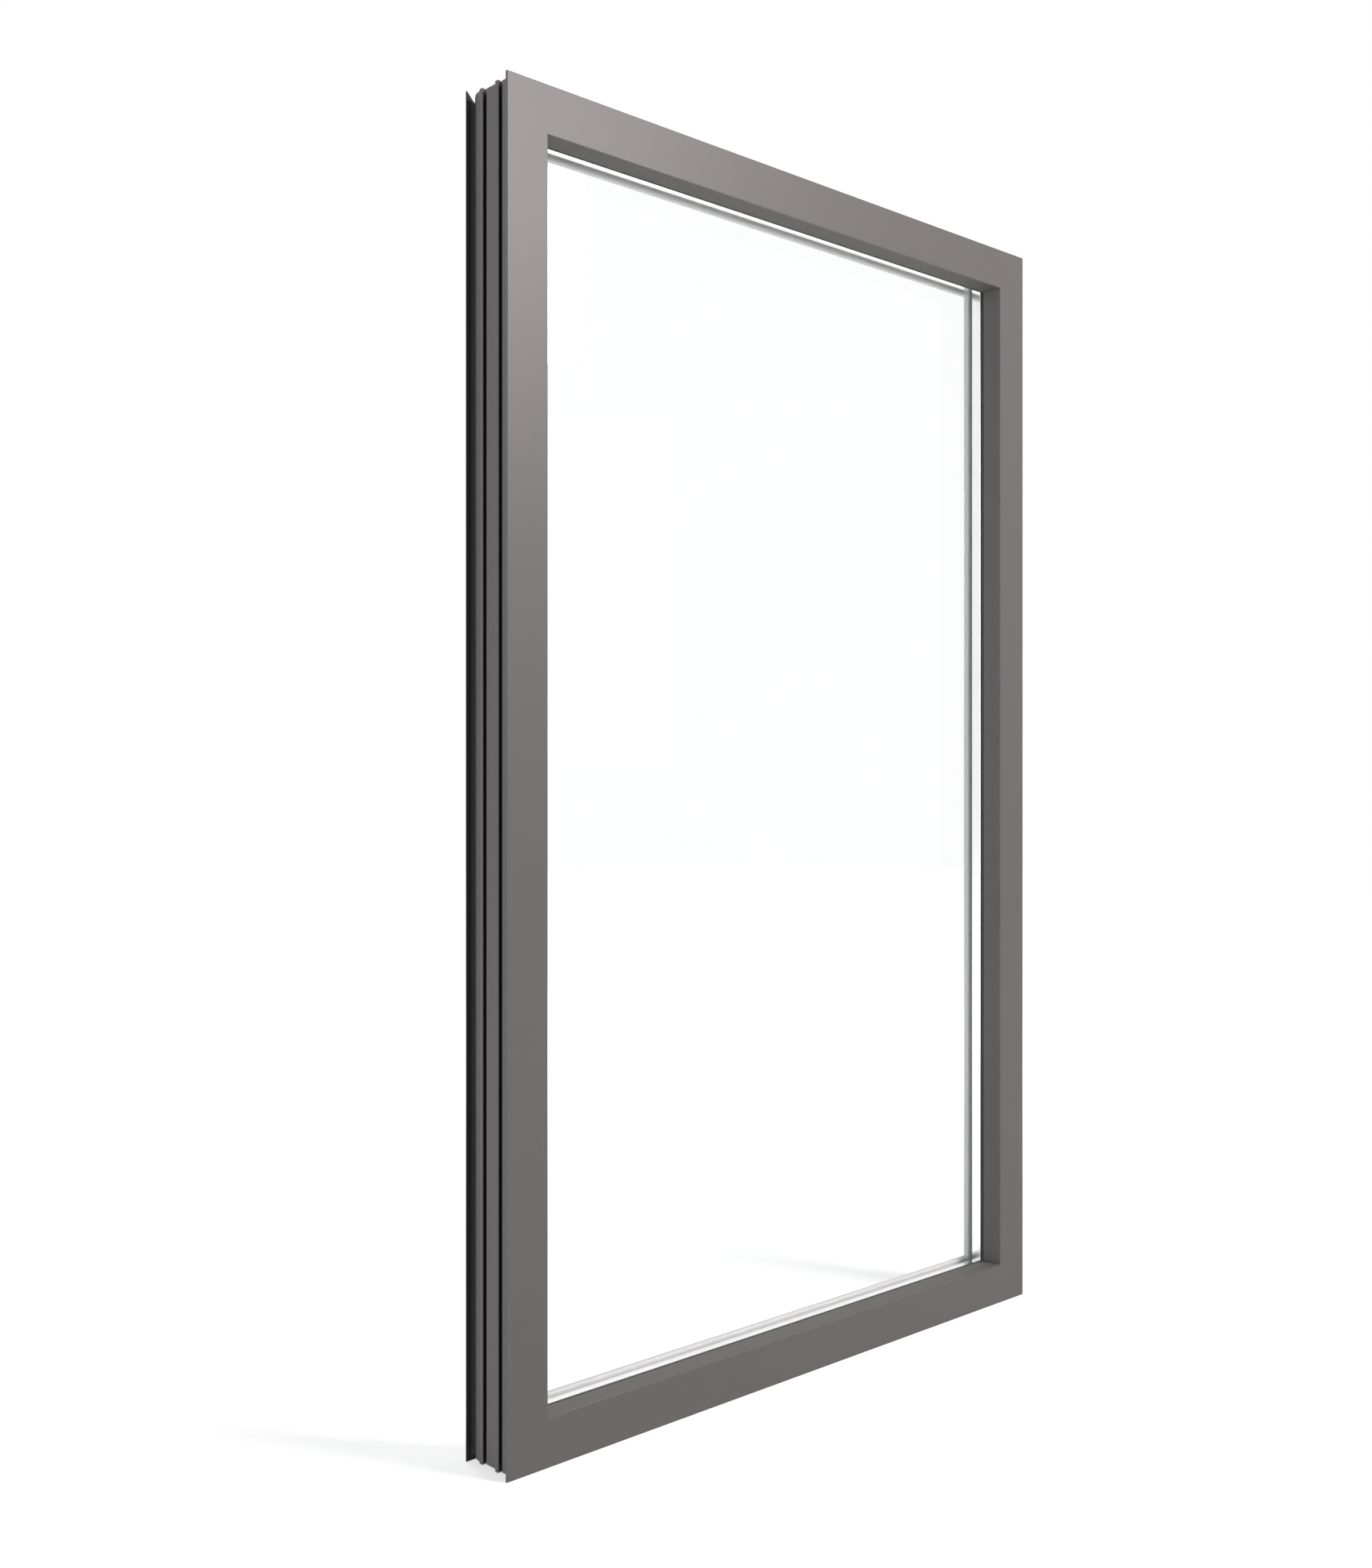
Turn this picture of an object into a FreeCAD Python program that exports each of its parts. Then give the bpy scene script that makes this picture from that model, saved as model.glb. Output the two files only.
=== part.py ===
import FreeCAD, Part

import math
import os

# A fixed picture window: four hollow profile members mitred into a frame round a sealed double
# glass unit. Millimetres, +X right, +Y from the face towards the back, +Z up.
# The origin is on the sill's flat underside, at mid width and mid depth.

# Overall sizes, measured over the flange lips
overall_width = 915.0
overall_height = 1500.0

# The frame's body outside the glass rebate, and the reveal from the face back to the glass
rebate = 34.0
reveal_depth = 29.5
flange_thickness = 3.5
flange_lip = 5.0

# Hooked ribs that run round the outside of the frame
front_rib_to_rebate = 13.6
rear_rib_to_groove = 25.3
slot_width = 3.7
slot_depth = 6.0
hook_undercut = 3.0
hook_radius = 0.9
rib_height = 1.8
rib_width = 6.6
rib_back_slope = 3.0

# Shoulder, deep groove and fin at the back of the frame
shoulder_rise = 0.5
shoulder_fall = 3.0
groove_width = 4.7
groove_depth = 11.0
fin_thickness = 2.4
fin_notch = 13.0

# Walls of the hollow profile
wall = 2.6
web = 2.2
chamber_radius = 0.8
edge_radius = 0.8

# Sealed double glass unit
pane_thickness = 4.0
cavity = 16.0
glass_bite = 15.0
edge_clearance = 5.0
spacer_inset = 4.0
spacer_height = 7.0
spacer_wall = 0.8

# Gaskets, and the feet that hold them in their grooves
front_gasket = 4.5
rear_gasket = 2.0
gasket_cover = 9.0
gasket_foot_width = 2.4
gasket_foot_depth = 2.0
gasket_foot_place = 3.0
gasket_nose = 0.8

# Glazing bead at the back
bead_depth = 17.0
bead_lip = 2.5
bead_shelf = 5.5
bead_wall = 1.6
bead_foot_width = 2.4
bead_foot_depth = 3.6
bead_radius = 1.5

# Setting blocks that carry the glass
block_length = 100.0
block_overhang = 0.8

# Clearance round a foot in its groove
foot_clearance = 0.25

# Depths from the face (p)
glass_front = reveal_depth + front_gasket
glass_back = glass_front + 2 * pane_thickness + cavity
bead_front = glass_back + rear_gasket
frame_depth = bead_front + bead_depth
groove_back = frame_depth - fin_thickness
groove_front = groove_back - groove_width
front_rib_slot = reveal_depth - front_rib_to_rebate
rear_rib_slot = groove_front - rear_rib_to_groove
shoulder_start = rear_rib_slot + slot_width + rib_width + rib_back_slope
shoulder_run = groove_front - shoulder_start
shoulder_bend = (shoulder_run**2 + shoulder_fall**2) / (2 * shoulder_run)
shoulder_radius = (shoulder_bend - edge_radius) * shoulder_run / shoulder_fall
bead_foot_middle = (bead_front + frame_depth) / 2

# Insets from the flange's outer edge (q)
body = flange_lip
rib_top = body - rib_height
slot_floor = body + slot_depth
shoulder = body - shoulder_rise
groove_lip = shoulder + shoulder_fall
groove_floor = shoulder + groove_depth
glass_edge = rebate + edge_clearance
face_width = glass_edge + glass_bite
foot_q = face_width - gasket_foot_place - gasket_foot_width / 2


def outline(*corners):
    """Closed wire through (p, q) corners, rounded where a corner has a third value, its radius."""
    points = [FreeCAD.Vector(0, c[0], c[1]) for c in corners]
    ends = []
    arcs = []
    for i, corner in enumerate(corners):
        here = points[i]
        if len(corner) == 2:
            ends.append((here, here))
            arcs.append(None)
            continue
        back = (points[i - 1] - here).normalize()
        ahead = (points[(i + 1) % len(points)] - here).normalize()
        half_turn = back.getAngle(ahead) / 2
        reach = corner[2] / math.tan(half_turn)
        middle = (back + ahead).normalize() * (corner[2] / math.sin(half_turn))
        start = here + back * reach
        end = here + ahead * reach
        top = here + middle - FreeCAD.Vector(middle).normalize() * corner[2]
        ends.append((start, end))
        arcs.append(Part.Arc(start, top, end).toShape())
    edges = []
    for i, arc in enumerate(arcs):
        if arc:
            edges.append(arc)
        start = ends[i][1]
        end = ends[(i + 1) % len(ends)][0]
        edges.append(Part.LineSegment(start, end).toShape())
    return Part.Wire(edges)


def box_outline(p_low, p_high, q_low, q_high, radius):
    """Rectangular wire with rounded corners, for a chamber in a profile."""
    return outline(
        (p_low, q_low, radius), (p_high, q_low, radius), (p_high, q_high, radius), (p_low, q_high, radius)
    )


def shoulder_cell(p_low, p_high, q_high):
    """Chamber under the rear rib: it steps in round the slot and follows the fall of the shoulder."""
    step = rear_rib_slot + slot_width + hook_undercut + wall
    return outline(
        (p_low, slot_floor + wall, chamber_radius),
        (step, slot_floor + wall, chamber_radius),
        (step, body + wall, chamber_radius),
        (shoulder_start, body + wall, chamber_radius),
        (p_high, groove_lip + wall, chamber_radius),
        (p_high, q_high, chamber_radius),
        (p_low, q_high, chamber_radius),
    )


def profile(outer, *chambers):
    """Face of an extruded profile, with its hollow chambers."""
    return Part.makeFace([outer, *chambers], "Part::FaceMakerBullseye")


def rib(slot_start):
    """Corners of one hooked rib and the undercut slot in front of it, from front to back."""
    tip = slot_start + slot_width
    throat = tip + hook_undercut
    return [
        (slot_start, body),
        (slot_start, slot_floor),
        (throat, slot_floor),
        (throat, rib_top + hook_undercut),
        (tip, rib_top, hook_radius),
        (tip + rib_width, rib_top, edge_radius),
    ]


def frame_profile():
    """Section of the frame: face and flange, two ribs, groove and fin outside, glass rebate inside."""
    foot = gasket_foot_width / 2 + foot_clearance
    foot_p = reveal_depth - gasket_foot_depth - foot_clearance
    bead_foot = bead_foot_width / 2 + foot_clearance
    bead_pocket = rebate - bead_foot_depth - foot_clearance
    front_rib_end = front_rib_slot + slot_width + rib_width
    outer = outline(
        (0, 0, edge_radius),
        (flange_thickness, 0, edge_radius),
        (flange_thickness, body, edge_radius / 2),
        *rib(front_rib_slot),
        (front_rib_end + rib_back_slope, body),
        *rib(rear_rib_slot),
        (shoulder_start, shoulder),
        (shoulder_start + shoulder_bend, shoulder, shoulder_radius),
        (groove_front, groove_lip, edge_radius),
        (groove_front, groove_floor, edge_radius),
        (groove_back, groove_floor, edge_radius),
        (groove_back, 0, edge_radius),
        (frame_depth, 0, edge_radius),
        (frame_depth, rebate, edge_radius / 2),
        (bead_foot_middle + bead_foot, rebate),
        (bead_foot_middle + bead_foot, bead_pocket),
        (bead_foot_middle - bead_foot, bead_pocket),
        (bead_foot_middle - bead_foot, rebate),
        (reveal_depth, rebate),
        (reveal_depth, foot_q - foot),
        (foot_p, foot_q - foot),
        (foot_p, foot_q + foot),
        (reveal_depth, foot_q + foot),
        (reveal_depth, face_width, edge_radius / 2),
        (0, face_width, edge_radius),
    )
    front_cell = front_rib_slot - wall
    middle_cell = foot_p - wall
    rear_cell = rear_rib_slot - wall
    last_cell = groove_front - wall
    cell_top = bead_pocket - wall
    chambers = [
        box_outline(wall, front_cell, body + wall, face_width - wall, chamber_radius),
        box_outline(front_cell + web, middle_cell, slot_floor + wall, face_width - wall, chamber_radius),
        box_outline(middle_cell + web, rear_cell, body + wall, rebate - wall, chamber_radius),
        shoulder_cell(rear_cell + web, last_cell, cell_top),
        box_outline(last_cell + web, frame_depth - wall, groove_floor + wall, cell_top, chamber_radius),
    ]
    return profile(outer, *chambers)


def bead_profile():
    """Section of the glazing bead: a hollow snap-in strip with a sloping face and a foot."""
    foot_low = bead_foot_middle - bead_foot_width / 2
    foot_high = bead_foot_middle + bead_foot_width / 2
    gasket_foot = gasket_foot_width / 2 + foot_clearance
    pocket = bead_front + gasket_foot_depth + foot_clearance
    outer = outline(
        (bead_front, rebate),
        (foot_low, rebate),
        (foot_low, rebate - bead_foot_depth, edge_radius / 2),
        (foot_high, rebate - bead_foot_depth, edge_radius / 2),
        (foot_high, rebate),
        (frame_depth, rebate, edge_radius / 2),
        (frame_depth, rebate + bead_shelf, bead_radius),
        (pocket + bead_lip, face_width, bead_radius),
        (bead_front, face_width, edge_radius / 2),
        (bead_front, foot_q + gasket_foot),
        (pocket, foot_q + gasket_foot),
        (pocket, foot_q - gasket_foot),
        (bead_front, foot_q - gasket_foot),
    )
    chamber = outline(
        (bead_front + bead_wall, rebate + bead_wall, edge_radius / 2),
        (frame_depth - bead_wall, rebate + bead_wall, edge_radius / 2),
        (frame_depth - bead_wall, rebate + bead_shelf, edge_radius / 2),
        (pocket + bead_wall, foot_q - gasket_foot - bead_wall, edge_radius / 2),
        (bead_front + bead_wall, foot_q - gasket_foot - bead_wall, edge_radius / 2),
    )
    return profile(outer, chamber)


def gasket_profile(glass_side, seat_side, foot_way):
    """Section of a gasket between the glass and its seat, with a foot that points away from the glass."""
    foot_end = seat_side + foot_way * gasket_foot_depth
    outer = outline(
        (glass_side, face_width, gasket_nose),
        (glass_side, face_width - gasket_cover),
        (seat_side, face_width - gasket_cover),
        (seat_side, foot_q - gasket_foot_width / 2),
        (foot_end, foot_q - gasket_foot_width / 2),
        (foot_end, foot_q + gasket_foot_width / 2),
        (seat_side, foot_q + gasket_foot_width / 2),
        (seat_side, face_width),
    )
    return profile(outer)


def spacer_profile():
    """Section of the hollow bar that holds the panes apart."""
    front = glass_front + pane_thickness
    back = front + cavity
    low = glass_edge + spacer_inset
    high = low + spacer_height
    chamber = box_outline(
        front + spacer_wall, back - spacer_wall, low + spacer_wall, high - spacer_wall, spacer_wall / 2
    )
    return profile(box_outline(front, back, low, high, spacer_wall), chamber)


def mitred(section, length):
    """One member of a ring: the section run along X and cut at 45 degrees at both ends."""
    run = section.extrude(FreeCAD.Vector(length, 0, 0))
    run.translate(FreeCAD.Vector(-length / 2, 0, 0))
    reach = length / 2
    inner = reach - face_width
    cut = Part.makePolygon(
        [
            FreeCAD.Vector(-reach, 0, 0),
            FreeCAD.Vector(reach, 0, 0),
            FreeCAD.Vector(inner, 0, face_width),
            FreeCAD.Vector(-inner, 0, face_width),
            FreeCAD.Vector(-reach, 0, 0),
        ]
    )
    envelope = Part.Face(cut).extrude(FreeCAD.Vector(0, frame_depth, 0))
    return run.common(envelope)


def notched(member):
    """Head with its fin cut back square at both ends, short of the tips of the side members' fins."""
    for end in (-overall_width / 2, overall_width / 2 - fin_notch):
        corner = FreeCAD.Vector(end, groove_back, 0)
        member = member.cut(Part.makeBox(fin_notch, fin_thickness, groove_floor, corner))
    return member


def place(shape, turn):
    """Turns a piece made at the sill about the window's middle, and moves it into the part's frame."""
    middle = FreeCAD.Vector(0, 0, overall_height / 2)
    moved = shape.copy()
    if turn:
        reach = overall_height / 2 if turn == 180 else overall_width / 2
        moved.translate(FreeCAD.Vector(0, 0, overall_height / 2 - reach))
        moved.rotate(middle, FreeCAD.Vector(0, 1, 0), turn)
    moved.translate(FreeCAD.Vector(0, -frame_depth / 2, -flange_lip))
    return moved


def ring(name, section):
    """Four mitred members of one section, as the sill, left, head and right nodes of a ring."""
    sides = (("sill", 0), ("left", 90), ("head", 180), ("right", 270))
    pieces = {}
    for side, turn in sides:
        length = overall_width if turn in (0, 180) else overall_height
        pieces[f"{name}_{side}"] = place(mitred(section, length), turn)
    return pieces


def pane(front):
    """One pane of glass, with its front surface at the given depth."""
    width = overall_width - 2 * glass_edge
    height = overall_height - 2 * glass_edge
    corner = FreeCAD.Vector(-width / 2, front, glass_edge)
    return place(Part.makeBox(width, pane_thickness, height, corner), 0)


def setting_block(middle_x):
    """One setting block on the sill's rebate, under both panes."""
    front = glass_front - block_overhang
    depth = glass_back - glass_front + 2 * block_overhang
    corner = FreeCAD.Vector(middle_x - block_length / 2, front, rebate)
    return place(Part.makeBox(block_length, depth, edge_clearance, corner), 0)


frame = ring("frame", frame_profile())
frame["frame_head"] = place(notched(mitred(frame_profile(), overall_width)), 180)
quarter = overall_width / 4
nodes = {
    **frame,
    **ring("glazing_bead", bead_profile()),
    **ring("front_gasket", gasket_profile(glass_front, reveal_depth, -1)),
    **ring("rear_gasket", gasket_profile(glass_back, bead_front, 1)),
    **ring("spacer_bar", spacer_profile()),
    "front_pane": pane(glass_front),
    "rear_pane": pane(glass_back - pane_thickness),
    "setting_block_left": setting_block(-quarter),
    "setting_block_right": setting_block(quarter),
}

os.makedirs("parts", exist_ok=True)
for name, shape in nodes.items():
    shape.exportStep(f"parts/{name}.step")
    print(name, len(shape.Solids), shape.isValid(), round(shape.Volume / 1000, 1), "cm3")
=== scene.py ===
"""Dresses the fixed picture window and sets it in a plain studio."""

import logging
from dataclasses import dataclass, field
from enum import Enum
from math import pi
from typing import Any

import bpy
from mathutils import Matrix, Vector


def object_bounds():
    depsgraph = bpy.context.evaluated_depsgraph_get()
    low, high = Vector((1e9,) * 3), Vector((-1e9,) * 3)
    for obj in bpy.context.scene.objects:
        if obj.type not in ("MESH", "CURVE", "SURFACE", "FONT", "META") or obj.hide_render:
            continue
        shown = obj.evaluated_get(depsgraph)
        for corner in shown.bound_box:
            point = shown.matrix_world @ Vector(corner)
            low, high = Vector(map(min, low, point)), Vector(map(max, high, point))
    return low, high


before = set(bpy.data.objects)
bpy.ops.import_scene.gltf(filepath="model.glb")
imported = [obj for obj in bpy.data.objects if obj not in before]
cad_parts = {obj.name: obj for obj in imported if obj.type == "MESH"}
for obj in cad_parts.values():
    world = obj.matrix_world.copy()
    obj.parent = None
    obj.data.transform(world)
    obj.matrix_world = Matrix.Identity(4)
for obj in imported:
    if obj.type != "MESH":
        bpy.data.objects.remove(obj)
cad_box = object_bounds()

log = logging.getLogger("window")

Colour = tuple[float, float, float]
Triple = tuple[float, float, float]
Socket = bpy.types.NodeSocket
Nodes = dict[str, bpy.types.Object]

MM = 0.001
WHITE: Colour = (1.0, 1.0, 1.0)
WARM: Colour = (1.0, 0.94, 0.975)
COOL: Colour = (0.96, 1.0, 1.04)


class Side(Enum):
    """The four sides of a ring of mitred members, named as their nodes end."""

    SILL = "sill"
    LEFT = "left"
    HEAD = "head"
    RIGHT = "right"


class Value:
    """A number that varies over a surface: a socket whose arithmetic adds Math nodes."""

    def __init__(self, tree: bpy.types.NodeTree, socket: Socket) -> None:
        """Keeps the node tree and the output socket.

        Args:
            tree: the material's node tree.
            socket: the output that holds the number.
        """
        self.tree = tree
        self.socket = socket

    def _math(self, operation: str, *terms: "Value | float") -> "Value":
        """Adds one Math node.

        Args:
            operation: the node's operation.
            terms: the numbers or values that it takes, in order.

        Returns:
            The node's result.
        """
        node = self.tree.nodes.new("ShaderNodeMath")
        node.operation = operation
        for slot, term in zip(node.inputs, terms):
            if isinstance(term, Value):
                self.tree.links.new(term.socket, slot)
            else:
                slot.default_value = term
        return Value(self.tree, node.outputs[0])

    def __add__(self, other: "Value | float") -> "Value":
        """Sum of two values."""
        return self._math("ADD", self, other)

    __radd__ = __add__

    def __sub__(self, other: "Value | float") -> "Value":
        """Difference of two values."""
        return self._math("SUBTRACT", self, other)

    def __rsub__(self, other: float) -> "Value":
        """A number less this value."""
        return self._math("SUBTRACT", other, self)

    def __mul__(self, other: "Value | float") -> "Value":
        """Product of two values."""
        return self._math("MULTIPLY", self, other)

    __rmul__ = __mul__

    def __pow__(self, other: float) -> "Value":
        """This value raised to a power."""
        return self._math("POWER", self, other)

    def __gt__(self, other: "Value | float") -> "Value":
        """One where this value is the larger, else zero."""
        return self._math("GREATER_THAN", self, other)

    def __lt__(self, other: "Value | float") -> "Value":
        """One where this value is the smaller, else zero."""
        return self._math("LESS_THAN", self, other)

    def __or__(self, other: "Value | float") -> "Value":
        """The larger of two values."""
        return self._math("MAXIMUM", self, other)

    def __and__(self, other: "Value | float") -> "Value":
        """The smaller of two values."""
        return self._math("MINIMUM", self, other)

    def size(self) -> "Value":
        """The value without its sign."""
        return self._math("ABSOLUTE", self)


class Surface:
    """The node tree of one material or world, built up in plain steps."""

    def __init__(self, tree: bpy.types.NodeTree) -> None:
        """Clears the tree.

        Args:
            tree: the node tree to fill.
        """
        self.tree = tree
        self.tree.nodes.clear()

    def node(
        self, kind: str, settings: dict[str, Any] | None = None, **inputs: Any
    ) -> bpy.types.Node:
        """Adds a node.

        Args:
            kind: the node's type, without the word ShaderNode.
            settings: properties that are set before the sockets.
            inputs: values or links for its sockets, with _ for a space in a socket's name.

        Returns:
            The new node.
        """
        made = self.tree.nodes.new(f"ShaderNode{kind}")
        for name, setting in (settings or {}).items():
            setattr(made, name, setting)
        for name, given in inputs.items():
            socket = made.inputs[name.replace("_", " ")]
            self.feed(socket, given)
        return made

    def feed(self, socket: Socket, given: Any) -> None:
        """Sets a socket, or links it.

        Args:
            socket: the input socket.
            given: a value, an output socket, or a number or colour.
        """
        if isinstance(given, Value):
            given = given.socket
        if isinstance(given, bpy.types.NodeSocket):
            self.tree.links.new(given, socket)
        elif socket.type == "RGBA":
            socket.default_value = (*given, 1.0)
        else:
            socket.default_value = given

    def value(self, socket: Socket) -> Value:
        """Wraps an output socket for arithmetic."""
        return Value(self.tree, socket)

    def place(self) -> Socket:
        """Place on the piece, in metres of its own space."""
        return self.node("TexCoord").outputs["Object"]

    def axes(self) -> tuple[Value, Value, Value]:
        """Place on the piece along each axis."""
        parts = self.node("SeparateXYZ", Vector=self.place())
        return tuple(self.value(socket) for socket in parts.outputs)

    def ramp(self, value: Value, start: float, end: float) -> Value:
        """Smooth rise of a value.

        Args:
            value: the value that rises.
            start: where the rise leaves 0.
            end: where it reaches 1.

        Returns:
            The rise from 0 to 1.
        """
        smooth = {"interpolation_type": "SMOOTHSTEP"}
        ramp = self.node("MapRange", smooth, Value=value, From_Min=start, From_Max=end)
        return self.value(ramp.outputs["Result"])

    def grain(self, size: float, detail: float = 2.0) -> Value:
        """Cloudy variation over the piece.

        Args:
            size: breadth of one cloud, in metres.
            detail: octaves of finer variation.

        Returns:
            The variation from 0 to 1, about 0.5 on average.
        """
        noise = self.node("TexNoise", Vector=self.place(), Scale=1 / size, Detail=detail)
        return self.value(noise.outputs["Fac"])

    def blend(self, low: Colour | Socket, high: Colour, amount: Value) -> Socket:
        """Mixes two colours.

        Args:
            low: colour where the amount is 0.
            high: colour where the amount is 1.
            amount: how much of the second.

        Returns:
            The mixed colour.
        """
        mix = self.node("Mix", {"data_type": "RGBA"})
        self.feed(mix.inputs[0], amount)
        self.feed(mix.inputs[6], low)
        self.feed(mix.inputs[7], high)
        return mix.outputs[2]

    def bump(self, height: Value, depth: float, strength: float) -> Socket:
        """Fine relief.

        Args:
            height: relief from 0 to 1.
            depth: its full depth, in metres.
            strength: how much of it shows.

        Returns:
            The bent normal.
        """
        node = self.node("Bump", Height=height, Distance=depth, Strength=strength)
        return node.outputs["Normal"]

    def finish(self, shader: bpy.types.Node, kind: str = "OutputMaterial") -> None:
        """Links a shader to the output.

        Args:
            shader: the node whose first output is the shader.
            kind: the type of the output node.
        """
        out = self.node(kind)
        self.tree.links.new(shader.outputs[0], out.inputs["Surface"])


def new_surface(name: str) -> tuple[bpy.types.Material, Surface]:
    """Makes an empty material.

    Args:
        name: the material's name.

    Returns:
        The material and its surface.
    """
    material = bpy.data.materials.new(name)
    material.use_nodes = True
    return material, Surface(material.node_tree)


@dataclass(frozen=True)
class SatinCoat:
    """Satin coating with the fine orange peel of a sprayed and baked film."""

    name: str = "satin_taupe_coat"
    low: Colour = (0.126, 0.118, 0.114)
    high: Colour = (0.136, 0.128, 0.124)
    roughness: float = 0.37
    gloss: float = 0.2
    roughness_spread: float = 0.05
    drift_size: float = 350 * MM
    speck_size: float = 0.5 * MM
    speck_share: float = 0.3
    peel_size: float = 1.6 * MM
    peel_depth: float = 0.02 * MM
    peel_strength: float = 0.6

    def coat(self, surface: Surface) -> tuple[Socket, Value]:
        """Colour of the film, and the drift that it follows.

        Args:
            surface: the material's surface.

        Returns:
            The film's colour, and the variation behind it from 0 to 1.
        """
        drift = surface.grain(self.drift_size, 3.0)
        speck = surface.grain(self.speck_size, 1.0)
        shade = drift * (1 - self.speck_share) + speck * self.speck_share
        return surface.blend(self.low, self.high, shade), shade

    def dullness(self, shade: Value) -> Value:
        """Roughness of the film, which follows the shade a little."""
        return self.roughness + self.roughness_spread * (shade - 0.5)

    def peel(self, surface: Surface) -> Socket:
        """Normal bent by the orange peel."""
        return surface.bump(surface.grain(self.peel_size), self.peel_depth, self.peel_strength)

    def material(self) -> bpy.types.Material:
        """Builds the coating's material.

        Returns:
            The material.
        """
        material, surface = new_surface(self.name)
        colour, shade = self.coat(surface)
        shader = surface.node(
            "BsdfPrincipled",
            Base_Color=colour,
            Specular_IOR_Level=self.gloss,
            Roughness=self.dullness(shade),
            Normal=self.peel(surface),
        )
        surface.finish(shader)
        return material


@dataclass(frozen=True)
class ProfileCoat(SatinCoat):
    """The coating on the frame, with painted shade in its slots, down its shoulder, in its
    groove and on its fin, which dulls in the reveal.

    Depths run back from the face, and insets run inwards from the flange's outer edge.

    Attributes:
        painted_shade_colour: dark colour of the painted shade.
        painted_shade_dulling: how much rougher the coat is where shade is painted.
        slots: depths at which each slot starts and ends.
        slot_lip: insets between which the painted shade starts at a slot's mouth.
        slot_margin: how far the painted shade reaches past a slot's front.
        shoulder: depths between which the painted shade deepens down the shoulder.
        fin: depth of the fin's inner face.
        fin_root: insets between which the painted shade gives way to the plain coat on the fin.
        back: depth of the back, which has no painted shade.
        reach: inset of the deepest painted shade.
        face: inset of the reveal.
        reveal_depth: depths between which the reveal dulls.
        reveal_dulling: how much rougher the reveal is.
    """

    # dark colour of the painted shade in the slots, down the shoulder, in the groove and on the
    # fin
    painted_shade_colour: Colour = (0.02, 0.019, 0.019)
    painted_shade_dulling: float = 0.3
    slots: tuple[tuple[float, float], ...] = ((15.9 * MM, 26.0 * MM), (44.6 * MM, 55.0 * MM))
    slot_lip: tuple[float, float] = (5.6 * MM, 6.4 * MM)
    slot_margin: float = 0.1 * MM
    shoulder: tuple[float, float] = (57.5 * MM, 72.5 * MM)
    fin: float = 74.5 * MM
    fin_root: tuple[float, float] = (3.0 * MM, 11.0 * MM)
    back: float = 76.9 * MM
    reach: float = 17.0 * MM
    face: float = 53.5 * MM
    reveal_depth: tuple[float, float] = (0.5 * MM, 3.0 * MM)
    reveal_dulling: float = 0.21

    def inset(self, surface: Surface, low: Vector, high: Vector) -> Value:
        """How far inside the flange's outer edge a point lies.

        Args:
            surface: the material's surface.
            low: lowest corner of the window.
            high: highest corner of the window.

        Returns:
            The distance in metres.
        """
        x, _, z = surface.axes()
        across = high.x - x.size()
        up = (z - low.z) & (high.z - z)
        return across & up

    def painted_shade(self, surface: Surface, inset: Value, depth: Value) -> Value:
        """Where shade is painted: in the slots, down the shoulder, in the groove and on the fin.

        Args:
            surface: the material's surface.
            inset: distance inside the flange's outer edge.
            depth: distance behind the face.

        Returns:
            One where shade is painted, zero where the plain coat shows.
        """
        painted_shade = surface.ramp(depth, *self.shoulder) * (depth < self.back)
        painted_shade = painted_shade - surface.ramp(inset, *self.fin_root) * (depth > self.fin) * painted_shade
        for start, end in self.slots:
            inside = surface.ramp(inset, *self.slot_lip)
            painted_shade = painted_shade | (inside * (depth > start - self.slot_margin) * (depth < end))
        return painted_shade * (inset < self.reach)

    def material(self) -> bpy.types.Material:
        """Builds the coating's material.

        Returns:
            The material.
        """
        material, surface = new_surface(self.name)
        low, high = cad_box
        colour, shade = self.coat(surface)
        inset = self.inset(surface, low, high)
        depth = surface.axes()[1] - low.y
        # painted shade: the coat blends to a dark colour in the slots, down the shoulder, in the
        # groove and on the fin
        painted_shade = self.painted_shade(surface, inset, depth)
        reveal = (inset > self.face) * surface.ramp(depth, *self.reveal_depth)
        dulled = self.painted_shade_dulling * painted_shade + self.reveal_dulling * reveal
        shader = surface.node(
            "BsdfPrincipled",
            Base_Color=surface.blend(colour, self.painted_shade_colour, painted_shade),
            Specular_IOR_Level=self.gloss,
            Roughness=self.dullness(shade) + dulled,
            Normal=self.peel(surface),
        )
        surface.finish(shader)
        return material


@dataclass(frozen=True)
class Rubber:
    """Matt extruded glazing gasket with a faint bloom."""

    name: str
    plain: Colour
    bloom: Colour
    roughness: float = 0.72
    roughness_spread: float = 0.16
    bloom_size: float = 12 * MM
    skin_size: float = 0.35 * MM
    skin_depth: float = 0.03 * MM
    skin_strength: float = 0.5

    def material(self) -> bpy.types.Material:
        """Builds the rubber's material.

        Returns:
            The material.
        """
        material, surface = new_surface(self.name)
        cloud = surface.grain(self.bloom_size, 4.0)
        skin = surface.grain(self.skin_size)
        shader = surface.node(
            "BsdfPrincipled",
            Base_Color=surface.blend(self.plain, self.bloom, cloud),
            Roughness=self.roughness + self.roughness_spread * (cloud - 0.5),
            Normal=surface.bump(skin, self.skin_depth, self.skin_strength),
        )
        surface.finish(shader)
        return material


@dataclass(frozen=True)
class BrightBar:
    """Bright unpainted metal of the rolled spacer bar."""

    name: str = "bright_spacer_bar"
    low: Colour = (0.88, 0.88, 0.88)
    high: Colour = (0.94, 0.94, 0.94)
    roughness: float = 0.16
    roughness_spread: float = 0.08
    cloud_size: float = 30 * MM
    skin_size: float = 0.6 * MM

    def material(self) -> bpy.types.Material:
        """Builds the bar's material.

        Returns:
            The material.
        """
        material, surface = new_surface(self.name)
        cloud = surface.grain(self.cloud_size, 3.0)
        skin = surface.grain(self.skin_size)
        shader = surface.node(
            "BsdfPrincipled",
            Base_Color=surface.blend(self.low, self.high, cloud),
            Metallic=1.0,
            Roughness=self.roughness + self.roughness_spread * (skin - 0.5),
        )
        surface.finish(shader)
        return material


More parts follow.
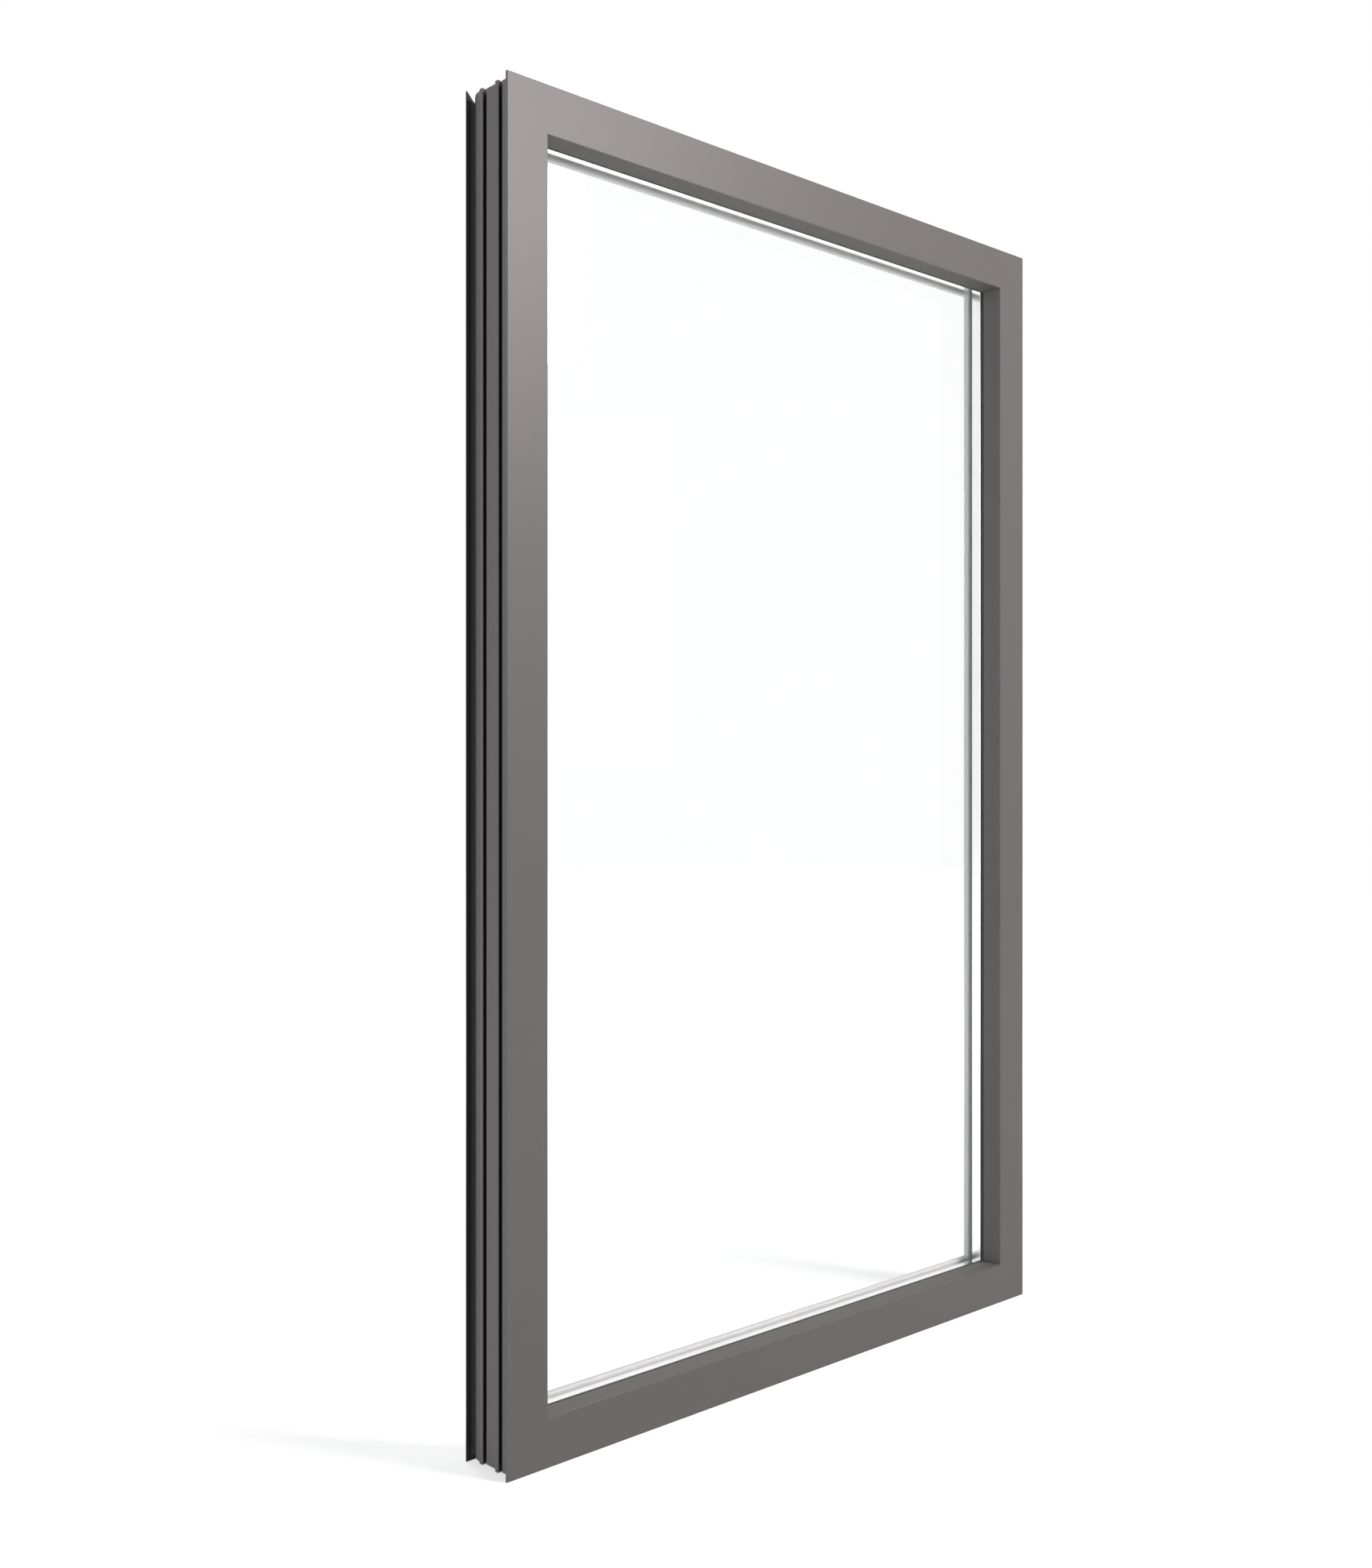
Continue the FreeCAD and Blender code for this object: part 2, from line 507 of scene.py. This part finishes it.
@dataclass(frozen=True)
class FloatGlass:
    """Clear float glass: straight through it, and a reflection that grows towards a slant."""

    name: str = "clear_float_glass"
    tint: Colour = (0.997, 1.0, 0.998)
    index: float = 1.25
    roughness: float = 0.0

    def material(self) -> bpy.types.Material:
        """Builds the glass's material.

        Returns:
            The material.
        """
        material, surface = new_surface(self.name)
        clear = surface.node("BsdfTransparent", Color=self.tint)
        gloss = surface.node("BsdfGlossy", Color=WHITE, Roughness=self.roughness)
        slant = surface.value(surface.node("Fresnel", IOR=self.index).outputs[0])
        behind = surface.value(surface.node("NewGeometry").outputs["Backfacing"])
        mix = surface.node("MixShader")
        factor, first, second = mix.inputs
        surface.feed(factor, slant * (1 - behind))
        surface.feed(first, clear.outputs[0])
        surface.feed(second, gloss.outputs[0])
        surface.finish(mix)
        return material


@dataclass(frozen=True)
class MouldedPlastic:
    """Plain moulded plastic with a fine spark-eroded texture."""

    name: str = "moulded_block"
    low: Colour = (0.045, 0.045, 0.045)
    high: Colour = (0.06, 0.06, 0.06)
    roughness: float = 0.55
    roughness_spread: float = 0.12
    cloud_size: float = 8 * MM
    texture_size: float = 0.4 * MM
    texture_depth: float = 0.04 * MM
    texture_strength: float = 0.5

    def material(self) -> bpy.types.Material:
        """Builds the plastic's material.

        Returns:
            The material.
        """
        material, surface = new_surface(self.name)
        cloud = surface.grain(self.cloud_size, 3.0)
        texture = surface.grain(self.texture_size)
        shader = surface.node(
            "BsdfPrincipled",
            Base_Color=surface.blend(self.low, self.high, cloud),
            Roughness=self.roughness + self.roughness_spread * (texture - 0.5),
            Normal=surface.bump(texture, self.texture_depth, self.texture_strength),
        )
        surface.finish(shader)
        return material


def dress(name: str, material: bpy.types.Material, nodes: Nodes) -> None:
    """Gives a node its finish.

    Args:
        name: the node's name.
        material: its finish.
        nodes: the part's nodes by name.
    """
    piece = nodes[name]
    if not piece.material_slots:
        piece.data.materials.append(material)
    for slot in piece.material_slots:
        slot.material = material
    log.info("%s has %s", name, material.name)


@dataclass
class MitredRing:
    """Four members of one section, mitred at the corners."""

    stem: str
    finish: SatinCoat | Rubber | BrightBar

    def names(self) -> list[str]:
        """Node names of the four members."""
        return [f"{self.stem}_{side.value}" for side in Side]

    def build(self, nodes: Nodes) -> None:
        """Dresses the members.

        Args:
            nodes: the part's nodes by name.
        """
        material = self.finish.material()
        for name in self.names():
            dress(name, material, nodes)


@dataclass
class GlassUnit:
    """The sealed unit's two panes and their blocks."""

    glass: FloatGlass = field(default_factory=FloatGlass)
    plastic: MouldedPlastic = field(default_factory=MouldedPlastic)
    panes: tuple[str, ...] = ("front_pane", "rear_pane")
    blocks: tuple[str, ...] = ("setting_block_left", "setting_block_right")

    def build(self, nodes: Nodes) -> None:
        """Dresses panes and blocks.

        Args:
            nodes: the part's nodes by name.
        """
        glass = self.glass.material()
        plastic = self.plastic.material()
        for name in self.panes:
            dress(name, glass, nodes)
        for name in self.blocks:
            dress(name, plastic, nodes)


@dataclass(frozen=True)
class Lamp:
    """A soft rectangular lamp."""

    name: str
    place: Triple
    target: Triple
    size: float
    power: float
    colour: Colour = WHITE

    def hang(self) -> None:
        """Adds the lamp, turned to its target."""
        data = bpy.data.lights.new(self.name, "AREA")
        data.shape = "SQUARE"
        data.size = self.size
        data.energy = self.power
        data.color = self.colour
        lamp = bpy.data.objects.new(self.name, data)
        lamp.location = self.place
        aim = Vector(self.target) - Vector(self.place)
        lamp.rotation_euler = aim.to_track_quat("-Z", "Y").to_euler()
        bpy.context.scene.collection.objects.link(lamp)
        log.info("lamp %s", self.name)


@dataclass
class Studio:
    """White studio: an even white world, a pale floor and soft lamps."""

    floor_level: float
    floor_reach: float = 9.0
    floor_colour: Colour = (0.75, 0.75, 0.75)
    floor_roughness: float = 0.85
    floor_roughness_spread: float = 0.1
    floor_cloud: float = 0.6
    floor_lift: float = 1.0
    near_lift: Colour = (0.6, 0.6, 0.6)
    shadow_reach: tuple[float, float] = (0.9, 2.2)
    ambient: float = 0.08
    lamps: tuple[Lamp, ...] = (
        Lamp(
            name="key",
            place=(1.62, -3.6, 2.95),
            target=(-3.2, 0.0, 2.2),
            size=1.5,
            power=217.0,
            colour=WARM,
        ),
        Lamp(
            name="left_fill",
            place=(-4.5, -1.0, 1.2),
            target=(-0.4, 0.0, 0.75),
            size=2.5,
            power=100.0,
            colour=COOL,
        ),
        Lamp(
            name="front_fill",
            place=(2.15, -3.6, 1.45),
            target=(-0.3, 0.0, 0.9),
            size=1.3,
            power=14.0,
            colour=WARM,
        ),
        Lamp(
            name="back",
            place=(0.4, 3.6, 1.5),
            target=(0.0, 0.0, 0.75),
            size=1.2,
            power=50.0,
        ),
    )

    def seen_directly(self, surface: Surface) -> Value:
        """Picks the rays that show the background: from the camera, a gloss or through glass.

        Args:
            surface: the surface of the world or of the floor's material.

        Returns:
            One for those rays, else zero.
        """
        path = surface.node("LightPath").outputs
        return (
            surface.value(path["Is Camera Ray"])
            | surface.value(path["Is Glossy Ray"])
            | surface.value(path["Is Transmission Ray"])
        )

    def world(self) -> None:
        """Lights the studio evenly, white where it is seen."""
        world = bpy.data.worlds.new("studio")
        world.use_nodes = True
        surface = Surface(world.node_tree)
        seen = self.seen_directly(surface)
        strength = self.ambient + (1.0 - self.ambient) * seen
        shader = surface.node("Background", Color=WHITE, Strength=strength)
        surface.finish(shader, "OutputWorld")
        bpy.context.scene.world = world

    def floor(self) -> None:
        """Lays the floor at the foot of the window."""
        reach = self.floor_reach
        corners = [(-reach, -reach), (reach, -reach), (reach, reach), (-reach, reach)]
        mesh = bpy.data.meshes.new("floor")
        vertices = [(x, y, self.floor_level) for x, y in corners]
        mesh.from_pydata(vertices, [], [(0, 1, 2, 3)])
        floor = bpy.data.objects.new("floor", mesh)
        bpy.context.scene.collection.objects.link(floor)
        material, surface = new_surface("pale_floor")
        lift = self.seen_directly(surface) * self.floor_lift
        cloud = surface.grain(self.floor_cloud)
        x, y, _ = surface.axes()
        away = surface.ramp((x * x + y * y) ** 0.5, *self.shadow_reach)
        paint = surface.node(
            "BsdfPrincipled",
            Base_Color=self.floor_colour,
            Roughness=self.floor_roughness + self.floor_roughness_spread * (cloud - 0.5),
            Emission_Color=surface.blend(self.near_lift, WHITE, away),
            Emission_Strength=lift,
        )
        surface.finish(paint)
        mesh.materials.append(material)

    def build(self) -> None:
        """Sets world, floor and lamps."""
        self.world()
        self.floor()
        for lamp in self.lamps:
            lamp.hang()


@dataclass(frozen=True)
class Viewpoint:
    """The camera, where the photograph was taken from.

    Attributes:
        place: the camera's place.
        heading: turn from straight ahead towards the right, in radians.
        focal: focal length in pixels of the frame.
        middle: pixel that lies straight ahead, from the top left.
        pixels: width and height of the frame in pixels.
        sensor: height of the sensor in millimetres.
    """

    place: Triple = (-1.48939, -1.455616, 0.745526)
    heading: float = 0.7645757
    focal: float = 2088.07
    middle: tuple[float, float] = (931.105, 989.685)
    pixels: tuple[int, int] = (1750, 2000)
    sensor: float = 36.0

    def build(self) -> None:
        """Adds the camera and makes it the scene's own."""
        data = bpy.data.cameras.new("camera")
        width, height = self.pixels
        data.sensor_fit = "VERTICAL"
        data.sensor_height = self.sensor
        data.lens = self.focal * self.sensor / height
        data.shift_x = (width / 2 - self.middle[0]) / height
        data.shift_y = (self.middle[1] - height / 2) / height
        camera = bpy.data.objects.new("camera", data)
        camera.location = self.place
        camera.rotation_euler = (pi / 2, 0.0, -self.heading)
        bpy.context.scene.collection.objects.link(camera)
        bpy.context.scene.camera = camera


def main() -> None:
    """Builds the window's finishes, the studio and the view."""
    logging.basicConfig(level=logging.INFO, format="%(name)s: %(message)s")
    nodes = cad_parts
    white_coat = SatinCoat(
        name="gloss_white_coat",
        low=(0.8, 0.8, 0.79),
        high=(0.84, 0.84, 0.83),
        roughness=0.14,
        gloss=0.5,
    )
    black_rubber = Rubber(
        name="black_gasket", plain=(0.018, 0.018, 0.018), bloom=(0.035, 0.034, 0.033)
    )
    white_rubber = Rubber(name="white_gasket", plain=(0.8, 0.8, 0.79), bloom=(0.87, 0.87, 0.86))
    rings = (
        MitredRing("frame", ProfileCoat()),
        MitredRing("glazing_bead", white_coat),
        MitredRing("front_gasket", black_rubber),
        MitredRing("rear_gasket", white_rubber),
        MitredRing("spacer_bar", BrightBar()),
    )
    for ring in rings:
        ring.build(nodes)
    GlassUnit().build(nodes)
    lowest = cad_box[0][2]
    Studio(floor_level=lowest).build()
    Viewpoint().build()
    bpy.context.scene.view_settings.view_transform = "Standard"


if __name__ == "__main__":
    main()
